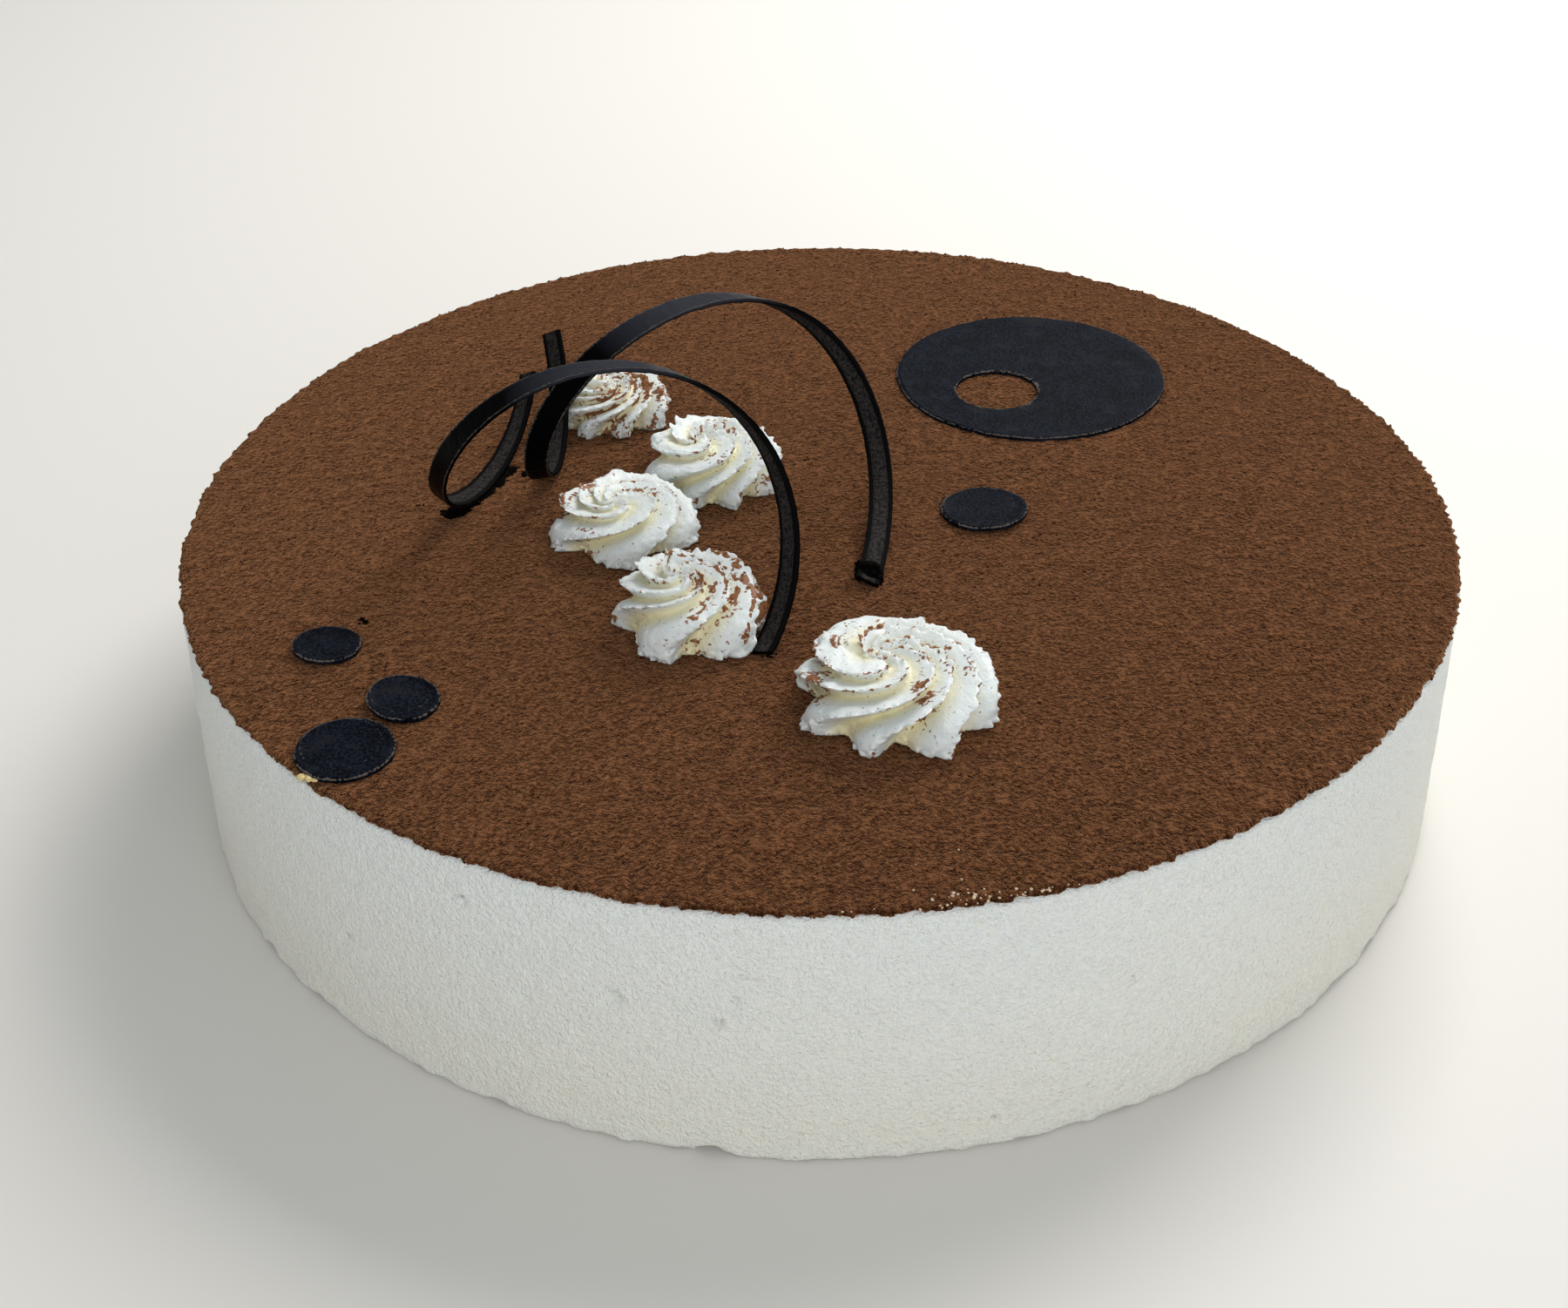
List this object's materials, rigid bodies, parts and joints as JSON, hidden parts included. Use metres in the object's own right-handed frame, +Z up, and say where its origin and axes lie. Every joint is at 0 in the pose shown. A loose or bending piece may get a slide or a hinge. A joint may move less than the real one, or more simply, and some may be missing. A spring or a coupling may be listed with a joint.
{
  "type": "tiramisu entremet",
  "caption": "Round straight-sided mousse cake dusted with cocoa, topped with flat chocolate discs, open chocolate curls and piped whipped cream rosettes.",
  "frame": {"origin": "middle of the cake's flat base", "axes": "+Z up along the axis of the round body; -Y is the side that the picture is taken from, +X to its right"},
  "size_m": [0.2428, 0.2429, 0.094],
  "materials": {
    "mousse": "ivory mousse, matte and finely pitted, with a few air bubbles",
    "cocoa": "velvety dark cocoa powder, dry and fully matte, with a fine napped grain",
    "chocolate": "blue-black dark chocolate with a soft sheen and paler worn edges",
    "curl": "dark chocolate strip, glossy on the outer face, grainy and matte on the inner face",
    "cream": "whipped cream, soft satin, white on the ridges and pale yellow in the hollows, dusted with cocoa"
  },
  "bodies": {
    "root": {"mousse_body": "mousse", "cocoa_layer": "cocoa", "disc_holed": "chocolate", "disc_middle": "chocolate", "disc_left_a": "chocolate", "disc_left_b": "chocolate", "disc_left_c": "chocolate", "curl_front": "curl", "curl_rear": "curl", "rosette_1": "cream", "rosette_2": "cream", "rosette_3": "cream", "rosette_4": "cream", "rosette_5": "cream"}
  },
  "joints": []
}
